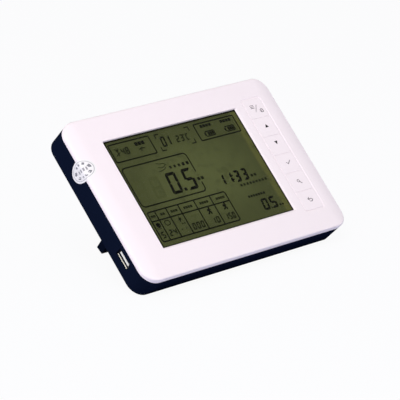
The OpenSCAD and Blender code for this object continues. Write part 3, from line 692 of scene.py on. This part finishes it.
def copies(name, piece, finish, places, across=1.0, along=1.0, depth=1.0):
    """Mesh on the row of one piece set on places, each (point, turn, size), on the panel in millimetres."""
    points = bpy.data.meshes.new(name + " points")
    points.from_pydata([point for point, _, _ in places], [], [])
    for key, column in (("turn", 1), ("size", 2)):
        layer = points.attributes.new(key, "FLOAT_VECTOR", "POINT")
        layer.data.foreach_set("vector", [c for place in places for c in place[column]])
    holders = [placed(name + " points", points), placed(name + " piece", piece)]
    spread = holders[0].modifiers.new("copies", "NODES")
    spread.node_group = COPIES
    for key, value in (("Piece", holders[1]), ("Finish", finish), ("Across", across), ("Along", along),
                       ("Depth", depth)):
        spread[COPIES_INPUT[key]] = value
    view = bpy.context.evaluated_depsgraph_get()
    mesh = bpy.data.meshes.new_from_object(holders[0].evaluated_get(view), depsgraph=view)
    holders[0].modifiers.remove(spread)
    for holder in holders:
        bpy.data.objects.remove(holder)
    bpy.data.meshes.remove(piece)
    mesh.name = name
    mesh.transform(PANEL)
    return mesh


IN_PLACE = Matrix.Identity(4)
PLAIN = (1.0, 1.0, 1.0)
FLAT = (0.0, 0.0, 0.0)


def softened(name, node, width, body, slot):
    """Copy of a CAD node with its sharp edges rounded, in place of the node."""
    flat, hard = math.radians(1.5), math.radians(30.0)
    net = Net()
    net.bm.from_mesh(frame["nodes"][node].data)
    bmesh.ops.remove_doubles(net.bm, verts=net.bm.verts, dist=2e-6)
    bmesh.ops.dissolve_limit(net.bm, angle_limit=flat, verts=net.bm.verts, edges=net.bm.edges)
    edges = [e for e in net.bm.edges if len(e.link_faces) == 2 and e.calc_face_angle() > hard]
    bmesh.ops.bevel(net.bm, geom=edges, offset=width * MM, segments=2, profile=0.5, affect="EDGES",
                    clamp_overlap=True)
    even_normals(show(name, net.mesh(name, IN_PLACE, merge=1e-7), FINISHES[slot], body, (node,)))


def key_y(i):
    """Height of a key's middle over the middle of the column."""
    return ((len(KEY_NAMES) - 1) / 2 - i) * KEY_PITCH


def key_cap(i):
    """One key: a shallow cap with soft edges and corner ledges, its ears and the post over its switch."""
    name, y = KEY_NAMES[i], RISE + key_y(i)
    net = Net()

    def ring(inset, z, r):
        w, h = KEY_W / 2 - inset, KEY_H / 2 - inset
        upper = KEY_END_R - inset if i == 0 else r
        lower = KEY_END_R - inset if i == len(KEY_NAMES) - 1 else r
        return at(rounded(KEY_X - w, y - h, KEY_X + w, y + h, upper, 5, lower), z)

    soft = [(inset, KEY_TOP - fall, KEY_R - inset)
            for inset, fall in ((0.4, 0), (0.16, 0.03), (0.04, 0.11), (0, 0.24))]
    skirt = [(inset, z, KEY_LEDGE_R)
             for inset, z in ((0, KEY_TOP - 0.27), (0, -3.2), (0.1, -3.3), (1.5, -3.3), (1.5, KEY_TOP - 1.7))]
    made = net.stack([ring(*step) for step in soft + skirt])
    net.cap(made[0])
    net.cap(made[-1])
    for s in (-1, 1):
        x = KEY_X + s * 9.1
        net.prism(rounded(x - 0.9, y - 4.5, x + 0.9, y + 4.5, 0.3, 3), -3.28, -2.57)
    net.prism(round_at(KEY_X, y, 2.2, 28), -4.3, KEY_TOP - 1.6)
    even_normals(show(name + "_cap", net.mesh(name + "_cap"), FINISHES["white_plastic"], name + "_button",
                      (name + "_key",)))


# Flat marks: strokes, bars and digits

def stroke(points, width, closed=False):
    """Outline, and hole when closed, of a line of even width with mitred corners."""
    points = [Vector(p) for p in points]
    n = len(points)
    sides = ([], [])
    for i, p in enumerate(points):
        before = points[i - 1] if closed or i else None
        after = points[(i + 1) % n] if closed or i < n - 1 else None
        ways = [(b - a).normalized() for a, b in ((before, p), (p, after)) if a is not None and b is not None]
        way = sum(ways, Vector((0, 0))).normalized()
        out = Vector((way.y, -way.x))
        reach = width / 2 / max(0.35, way.dot(ways[0]))
        sides[0].append(tuple(p + out * reach))
        sides[1].append(tuple(p - out * reach))
    if closed:
        return sides[0], [sides[1]]
    return sides[0] + sides[1][::-1], []


def digit_bars(w, h, width):
    """Seven bars of a digit, mitred at its cut corners; the uprights are nearly blunt midway."""
    gap, cut, half, mid = width * 0.05, width * 0.25, width / 2, h / 2
    flat = [(half, h), (cut + gap, h - cut), (width + gap, h - width)]
    flat += [(w - x, y) for x, y in flat[::-1]]
    upright = [(0, h - half), (cut, h - cut - gap), (width, h - width - gap), (width, mid + cut + gap),
               (half, mid + gap), (0, mid + gap)]
    over = [(half + gap, mid), (width + gap, mid + half)]
    over += [(w - x, y) for x, y in over[::-1]]
    middle = over + [(x, h - y) for x, y in over[2:0:-1]]

    def turned(shape, across, down):
        return [(w - x if across else x, h - y if down else y) for x, y in shape]

    return {"a": flat, "b": turned(upright, True, False), "c": turned(upright, True, True),
            "d": turned(flat, False, True), "e": turned(upright, False, True), "f": upright, "g": middle}


BARS = {"0": "abcdef", "1": "bc", "2": "abged", "3": "abgcd", "4": "fgbc", "5": "afgcd", "8": "abcdefg",
        "C": "afed", "-": "g", " ": ""}


class Sheet:
    """One layer of flat marks, given where they are seen round the window's middle, on a plane behind it."""

    def __init__(self, z, shift):
        self.net = Net()
        self.z, self.shift = z, shift
        self.blots = []

    def seen(self, p):
        k = -self.z / EYE.z
        x, y = p[0] + self.shift[0], p[1] + self.shift[1]
        return (x + k * (x - EYE.x), y + k * (y - EYE.y))

    def plate(self, outer, holes=()):
        self.net.prism([self.seen(p) for p in outer], self.z - MARK_T, self.z,
                       [[self.seen(p) for p in hole] for hole in holes])

    def line(self, width, *points, closed=False):
        self.plate(*stroke(points, width, closed))

    def ring(self, x, y, r, width):
        self.plate(round_at(x, y, r, 20), [round_at(x, y, r - width, 20)])

    def dot(self, x, y, r):
        self.plate(round_at(x, y, r, 14))

    def row(self, y, w, h, *xs):
        """Row of small blocks, which stand where words would be."""
        for x in xs:
            self.blots.append(((*self.seen((x, y)), self.z - MARK_T), FLAT, (w, h, MARK_T)))

    def digits(self, text, x, y, w, h, pitch, width, slant=0.087):
        """Row of seven-bar digits from their lower left corner."""
        bars = digit_bars(w, h, width)
        for i, digit in enumerate(text):
            for name in BARS[digit]:
                self.plate([(x + i * pitch + px + py * slant, y + py) for px, py in bars[name]])

    def finish(self, name, ink_finish, body):
        self.net.bm.transform(PANEL)
        if self.blots:
            block = Net()
            block.prism(rounded(-0.5, -0.5, 0.5, 0.5, 0.18, 3), 0.0, 1.0)
            blocks = copies(name, block.mesh("block", IN_PLACE), ink_finish, self.blots)
            self.net.bm.from_mesh(blocks)
            bpy.data.meshes.remove(blocks)
        show(name, self.net.mesh(name, IN_PLACE, merge=0), ink_finish, body)


def runner(sheet, x, y):
    """Small figure of a person on foot."""
    sheet.dot(x + 0.6, y + 2.3, 0.75)
    for width, *points in ((1.5, (0.3, 1.5), (-0.2, -0.5)), (1.1, (-0.2, -0.5), (1.1, -1.2), (0.9, -2.7)),
                           (1.1, (-0.2, -0.5), (-0.8, -1.6), (-2.0, -2.2)),
                           (0.95, (-1.6, 0.1), (-1.0, 1.2), (0.4, 1.2), (1.6, 0.4))):
        sheet.line(width, *((x + px, y + py) for px, py in points))


def display_marks():
    """Frames, digits and small marks of the display, and a band of painted shade round its edge, just above
    its film.
    """
    dark, faint, ghost, rim = (Sheet(FILM_Z + lift, DISPLAY_SHIFT) for lift in (0.03, 0.025, 0.02, 0.015))
    wide = 1.0

    def box(x0, y0, x1, y1, r=0.8):
        dark.line(wide, *rounded(x0, y0, x1, y1, r, 5), closed=True)

    # Upper row
    box(-68.2, 25.9, -30.8, 40.0)
    box(12.4, 26.1, 51.1, 39.6)
    for x, sx in ((-25.3, 1), (6.7, -1)):
        for y, sy in ((26.1, 1), (39.3, -1)):
            dark.line(0.85, (x, y + 3.2 * sy), (x, y), (x + 3.8 * sx, y))
    faint.line(0.75, (-64.6, 36.4), (-62.8, 33.6), (-61.0, 36.4))
    faint.line(0.8, (-62.8, 36.6), (-62.8, 30.2))
    faint.line(0.75, (-65.2, 30.8), (-61.0, 33.0))
    faint.digits("48", -60.2, 30.0, 3.4, 6.0, 4.0, 1.25)
    dark.row(36.2, 2.7, 2.9, -44.2, -41.1, -38.0)
    faint.line(0.85, (-44.0, 31.6), (-41.4, 32.4), (-38.4, 31.8))
    faint.line(0.8, (-42.4, 30.0), (-41.2, 33.2))
    dark.digits("01", -22.8, 28.7, 4.2, 8.2, 4.3, 1.3)
    faint.digits("23", -9.0, 29.4, 3.3, 5.6, 4.0, 1.1)
    faint.ring(-0.7, 34.2, 0.65, 0.35)
    faint.digits("C", 0.4, 29.4, 2.9, 5.4, 4.0, 1.0)
    for x in (18.0, 37.6):
        dark.row(37.0, 2.3, 2.3, *(x + 0.6 + 2.75 * i for i in range(4)))
        dark.line(0.8, *rounded(x + 1.0, 28.3, x + 9.5, 32.3, 0.8, 3), closed=True)
        dark.line(0.8, (x + 0.3, 29.3), (x + 0.3, 31.2))
        for i in range(3):
            dark.plate(rounded(x + 3.1 + 2.0 * i, 28.9, x + 4.8 + 2.0 * i, 31.7, 0.2, 2))

    # Large value with its frame, which opens for the unit
    frame_line = rounded(-68.2, -10.9, -8.0, 20.7, 3.0, 6)
    dark.line(wide, (-8.0, 4.8), *frame_line, (-8.0, -3.6))
    for points in (((-37.6, 18.2), (-34.4, 17.2), (-31.0, 17.0), (-29.2, 15.0)),
                   ((-37.4, 14.9), (-34.8, 14.1), (-32.4, 14.3), (-30.2, 15.6)),
                   ((-38.4, 11.7), (-35.2, 11.9), (-32.6, 12.6), (-30.4, 14.0))):
        faint.line(0.55, *points)
    faint.row(12.9, 2.1, 2.2, -27.0, -22.9, -18.8)
    dark.row(12.9, 2.3, 2.6, -14.8, -10.9)
    dark.digits("0", -37.0, -7.7, 9.4, 17.0, 1.0, 2.35)
    dark.digits("5", -22.0, -7.7, 9.0, 17.0, 1.0, 2.35)
    dark.plate(rounded(-25.9, -7.2, -23.4, -4.7, 0.4, 3))
    faint.row(-0.9, 2.6, 2.5, -9.0, -5.6)
    ghost.digits("88", -67.0, -7.7, 9.0, 16.9, 14.4, 1.8)

    # Table
    box(-67.6, -38.9, 5.9, -15.3, 1.5)
    dark.line(wide, (-67.6, -22.7), (5.9, -22.7))
    for x in (-60.8, -50.4, -39.1, -24.1, -8.9):
        dark.line(wide, (x, -38.9), (x, -15.3))
    for x, count in ((-64.2, 2), (-55.4, 2), (-44.7, 3), (-31.6, 4), (-16.4, 4), (-0.6, 4)):
        faint.row(-19.0, 1.85, 1.9, *(x + 2.15 * (i - (count - 1) / 2) for i in range(count)))
    dark.plate([(-66.0, -25.6), (-65.4, -24.4), (-63.4, -24.2), (-62.2, -25.2), (-62.4, -27.4),
                (-64.0, -28.4), (-65.6, -27.6)])
    dark.line(0.4, (-66.3, -28.0), (-65.4, -28.9), (-62.6, -28.8))
    dark.line(0.6, (-57.6, -25.2), (-56.6, -24.4), (-54.4, -24.4), (-53.2, -25.4), (-53.4, -27.2),
              (-54.6, -28.0), (-56.6, -28.0), (-57.6, -27.0), closed=True)
    dark.plate([(-43.6, -23.4), (-45.4, -26.9), (-44.5, -26.7), (-44.9, -29.2), (-42.6, -25.5),
                (-43.6, -25.6)])
    faint.row(-29.8, 1.3, 1.0, -43.6, -41.6)
    faint.line(0.4, (-43.0, -24.6), (-42.4, -27.2))
    ghost.row(-26.4, 2.6, 1.6, -33.0, -29.6)
    runner(dark, -15.8, -26.2)
    runner(dark, -0.6, -26.0)
    for value in (("5", -66.2, -36.6, 3.4, 5.2, 4.2, 1.15), ("24", -59.0, -36.6, 3.1, 5.2, 4.0, 1.15),
                  ("--", -48.0, -36.2, 2.6, 5.0, 4.0, 0.75), ("000", -37.0, -36.9, 3.2, 5.5, 3.9, 1.15),
                  ("10", -18.6, -36.7, 3.3, 5.3, 4.2, 1.15), ("150", -5.6, -36.7, 2.8, 5.3, 3.3, 1.2)):
        faint.digits(*value)

    # Clock and the lower right value
    dark.digits("11", 7.4, -11.3, 4.7, 9.3, 7.4, 1.85)
    dark.dot(20.6, -5.2, 0.65)
    dark.dot(20.3, -8.4, 0.65)
    dark.digits("33", 21.7, -11.4, 5.2, 9.4, 7.4, 1.9)
    faint.row(-9.0, 2.2, 2.1, 37.6, 40.8)
    faint.row(-14.3, 1.9, 2.0, *(23.8 + 3.0 * i for i in range(9)))
    dark.row(-24.2, 1.7, 1.9, *(24.4 + 2.45 * i for i in range(7)))
    dark.digits("05", 31.5, -37.5, 5.8, 9.3, 7.7, 1.65)
    dark.dot(38.8, -36.7, 0.7)
    dark.row(-36.2, 1.6, 1.5, 47.4, 49.9)

    x0, y0, x1, y1 = WINDOW
    # Painted shade: a dark band on the film round the window's edge, where the gap between frame and film
    # lies in shade.
    rim.net.prism(rounded(x0 - 0.4, y0 - 0.4, x1 + 1.6, y1 + 0.4, 0.3, 2), rim.z - MARK_T, rim.z,
                  [rounded(x0 + 2.55, y0 + 1.3, x1 + 1.4, y1 - 0.7, 0.3, 2)])
    for sheet, name, finish in ((dark, "display_segments", SEGMENT_INK), (faint, "display_faint", FAINT_INK),
                                (ghost, "display_resting", GHOST_INK), (rim, "display_rim", PAINTED_RIM_SHADE)):
        sheet.finish(name, finish, "housing")


def key_marks():
    """Small plain signs printed on the keys, each riding on its own key."""
    y = [key_y(i) for i in range(len(KEY_NAMES))]
    sheets = [Sheet(KEY_TOP + 0.02, KEY_SHIFT) for _ in KEY_NAMES]
    top, up, down, tick, lens, back = sheets
    for i in range(3):
        top.line(0.42, (69.5, 42.6 - 1.15 * i), (73.4, 42.6 - 1.15 * i))
    top.line(0.35, (72.6, 36.9), (76.4, 42.6))
    top.ring(78.6, 37.2, 1.6, 0.45)
    top.line(0.42, (77.5, 36.1), (79.7, 38.3))
    up.plate([(72.9, 23.2), (76.1, 23.2), (74.5, 26.0)])
    down.plate([(72.9, 11.2), (74.5, 8.4), (76.1, 11.2)])
    tick.line(0.5, (72.6, y[3] + 0.9), (74.0, y[3] - 0.6), (76.8, y[3] + 2.0))
    lens.ring(73.6, y[4] + 0.6, 1.25, 0.42)
    lens.line(0.5, (74.5, y[4] - 0.3), (76.2, y[4] - 1.8))
    back.line(0.45, (74.0, y[5] + 2.2), (72.4, y[5] + 0.9), (74.0, y[5] - 0.4))
    back.line(0.45, (72.6, y[5] + 0.9), (75.6, y[5] + 0.9), (76.6, y[5] - 0.1), (75.6, y[5] - 1.2),
              (73.6, y[5] - 1.2))
    for name, sheet in zip(KEY_NAMES, sheets):
        sheet.finish(name + "_sign", ARROW_INK if sheet in (up, down) else LEGEND_INK, name + "_button")


def left_profile(s):
    """Point (x, z) and outward direction on the left side, s millimetres from the seam down the wall."""
    bend_x = HALF_W - FACE_EDGE
    top = -face_fall(bend_x) - FACE_EDGE
    wall, quarter = top + SEAM, FACE_EDGE * math.pi / 2
    if s >= 0:
        run, fall = math.sin(WALL_TILT), math.cos(WALL_TILT)
        return (s * run - HALF_W, -SEAM - s * fall), (-fall, -run)
    if s >= -wall:
        return (-HALF_W, -SEAM - s), (-1.0, 0.0)
    if s >= -wall - quarter:
        a = (-s - wall) / FACE_EDGE
        out = (-math.cos(a), math.sin(a))
        return (FACE_EDGE * out[0] - bend_x, top + FACE_EDGE * out[1]), out
    x = bend_x + (s + wall + quarter) * ROLL_RUN
    lean = math.asin((x - HALF_W + ROLL_W) / ROLL_R)
    return (-x, -face_fall(x)), (-math.sin(lean), math.cos(lean))


def seal():
    """Oval paper seal laid over the seam at the left, round the edge of the face."""
    net = Net()
    rings, turns = 16, 72
    spans = {}

    def point(lift, reach, a):
        u, v = reach * math.cos(a), reach * math.sin(a)
        (x, z), (nx, nz) = left_profile(SEAL_S + SEAL_HALF[0] * u)
        vert = net.bm.verts.new((x + nx * lift, SEAL_Y + SEAL_HALF[1] * v, z + nz * lift))
        spans[vert] = (u, v)
        return vert

    def layer(lift):
        angles = [2 * math.pi * j / turns for j in range(turns)]
        grid = [[point(lift, i / rings, a) for a in angles] for i in range(1, rings + 1)]
        middle = point(lift, 0.0, 0.0)
        for j in range(turns):
            net.bm.faces.new((middle, grid[0][j], grid[0][(j + 1) % turns]))
        for a, b in zip(grid, grid[1:]):
            net.band(a, b)
        return grid[-1]

    net.band(*[layer(lift) for lift in SEAL_LIFT])
    uv = net.bm.loops.layers.uv.new("seal")
    for face in net.bm.faces:
        for corner in face.loops:
            corner[uv].uv = spans[corner.vert]
    show("seal", net.mesh("seal", merge=0), SEAL_PAPER, "housing")


def socket_shell():
    """Folded sheet of the socket with round bends and a rolled mouth."""
    net = Net()

    def ring(x, grow):
        flat = rounded(-6.2 - grow, -2.5 - grow, 6.2 + grow, 2.5 + grow, 0.5 + grow, 4)
        return [(SOCKET_MOUTH + x, SOCKET_AT[0] + a, SOCKET_AT[1] + b) for a, b in flat]

    made = net.stack([ring(*step) for step in (
        (14.0, 0.0), (0.15, 0.0), (0.03, 0.08), (0.0, 0.18), (0.03, 0.28), (0.15, 0.35), (14.0, 0.35))])
    net.band(made[0], made[-1])
    show("socket_shell", net.mesh("socket_shell"), SOCKET_STEEL, "housing", ("usb_shell",))


def cross(r, w):
    """Outline of a cross, anticlockwise."""
    quarter = [(r, -w), (r, w), (w, w)]
    points = []
    for turn in range(4):
        for x, y in quarter:
            for _ in range(turn):
                x, y = -y, x
            points.append((x, y))
    return points


def screw(head_r, head_t, shank_r, length, name):
    """Screw along z, its head's outer face at 0 and looking backwards, with a cross recess."""
    net = Net()
    rings = [(head_r - 0.5, 0.0), (head_r - 0.15, 0.12), (head_r, 0.45), (head_r, head_t),
             (shank_r, head_t + 0.02)]
    z = head_t + 0.3
    while z < length - 1.0:
        rings += [(shank_r, z), (shank_r - 0.22, z + 0.3)]
        z += 0.6
    rings += [(shank_r * 0.8, length - 0.8), (shank_r * 0.25, length)]
    made = net.stack([at(round_at(0, 0, r, 24), z) for r, z in rings])
    recess = net.stack([at(cross(head_r * 0.55, 0.35), 0.0), at(cross(head_r * 0.45, 0.28), 1.1)])
    net.cap(made[0], [recess[0]])
    net.cap(recess[1])
    net.cap(made[-1])
    return net.mesh(name, IN_PLACE)


def back_pieces():
    """Screws and bumpers on the back, each kind spread from one piece."""
    head_z = SCREW_SEAT - DEPTH - SCREW_HEAD_T
    piece = screw(SCREW_HEAD_R, SCREW_HEAD_T, SCREW_SHANK_R, SCREW_TIP - head_z, "screw")
    mesh = copies("case_screw_set", piece, FINISHES["steel"],
                  [((x, y, head_z), (0, 0, 0.4 * i), PLAIN) for i, (x, y) in enumerate(CASE_AT)])
    show("case_screw_set", mesh, FINISHES["steel"], "housing", ("case_screws",))
    net = Net()
    rings = [(4.98, 0.0), (4.98, -0.7), (4.8, -1.15), (4.2, -1.43), (3.0, -1.56), (1.5, -1.6)]
    made = net.stack([at(round_at(0, 0, r, 32), z) for r, z in rings])
    net.cap(made[0])
    net.cap(made[-1])
    mesh = copies("bumper_set", net.mesh("bumper", IN_PLACE), FINISHES["black_rubber"],
                  [((x, y, BUMPER_SEAT - DEPTH), FLAT, PLAIN) for x, y in BUMPER_AT])
    show("bumper_set", mesh, FINISHES["black_rubber"], "housing", ("back_bumpers",))


front_shell()
rear_shell()
for place in range(len(KEY_NAMES)):
    key_cap(place)
display_marks()
key_marks()
seal()
socket_shell()
back_pieces()
softened("leg", "stand_leg", 0.2, "stand", "navy_plastic")
softened("leg_pads", "stand_pads", 0.2, "stand", "black_rubber")
softened("bay_door", "battery_door", 0.2, "housing", "navy_plastic")
softened("socket_tongue", "usb_tongue", 0.15, "housing", "white_nylon")

for name, node in frame["nodes"].items():
    slot = next(p["material_slot"] for p in frame["record"]["subparts"] if p["node"] == name)
    node.data.materials.clear()
    node.data.materials.append(FINISHES[slot])


# Room

def floor():
    """Pale floor that keeps the shadow and shows near white to the camera."""
    net = Net()
    span = 4500.0
    net.cap(net.loop([(-span, -span, 0), (span, -span, 0), (span, span, 0), (-span, span, 0)]))
    mesh = net.mesh("floor", Matrix.Scale(MM, 4))
    f = Finish("pale floor")
    tone = f.noise(90.0)
    pale = tone.mix((0.60, 0.63, 0.80, 1), (0.62, 0.65, 0.82, 1))
    lit = f.start.node("BsdfDiffuse", values={"Color": pale})
    glow = f.start.node("Emission", values={"Color": (1, 1, 1, 1), "Strength": 1.0})
    rays = f.start.node("LightPath", out="Is Camera Ray").math(
        "MAXIMUM", f.start.node("LightPath", out="Is Glossy Ray")).math(
        "MAXIMUM", f.start.node("LightPath", out="Is Transmission Ray"))
    f.surface(f.start.node("MixShader", values={0: rays * 0.94, 1: lit, 2: glow}))
    piece = placed("floor", mesh)
    mesh.materials.append(f.material)


def sky():
    """Soft cool room light, shown as white to the camera."""
    world = bpy.data.worlds.new("studio")
    bpy.context.scene.world = world
    world.use_nodes = True
    tree = world.node_tree
    tree.nodes.clear()
    start = Value(tree)
    seen = start.node("LightPath", out="Is Camera Ray")
    room = start.node("Background", values={"Color": (0.94, 0.94, 1.0, 1), "Strength": 0.42})
    white = start.node("Background", values={"Color": (1, 1, 1, 1), "Strength": 1.0})
    both = start.node("MixShader", values={0: seen, 1: room, 2: white})
    start.node("OutputWorld", values={"Surface": both})


def lamp(name, place, aim, power, size, colour):
    """Square soft lamp, place and aim in metres."""
    light = bpy.data.lights.new(name, "AREA")
    light.energy = power
    light.size = size
    light.color = colour
    holder = placed(name, light)
    holder.location = place
    holder.rotation_euler = (Vector(aim) - Vector(place)).to_track_quat("-Z", "Y").to_euler()


def camera():
    """Camera at the photograph's angle."""
    lens = bpy.data.cameras.new("camera")
    lens.sensor_width = 36.0
    lens.lens = 230.966
    lens.clip_end = 100.0
    holder = placed("camera", lens)
    right = Vector((0.720248, -0.693716, 0.0)).normalized()
    ahead = Vector((0.663739, 0.688995, -0.291095)).normalized()
    up = right.cross(ahead)
    turn = Matrix((right, up, -ahead)).transposed().to_4x4()
    holder.matrix_world = Matrix.Translation(PANEL @ EYE) @ turn
    bpy.context.scene.camera = holder


floor()
sky()
camera()
CENTRE = (0.0, 0.03, 0.05)
lamp("key lamp", (-1.15, -0.85, 1.46), CENTRE, 32.2, 1.2, (1.0, 0.985, 0.975))
lamp("fill lamp", (0.2, -1.8, 0.5), CENTRE, 3.0, 1.4, (0.93, 0.95, 1.0))
lamp("back lamp", (-0.8, 2.2, 0.35), CENTRE, 16.0, 1.2, (1.0, 1.0, 1.0))
bpy.context.scene.view_settings.view_transform = "Standard"
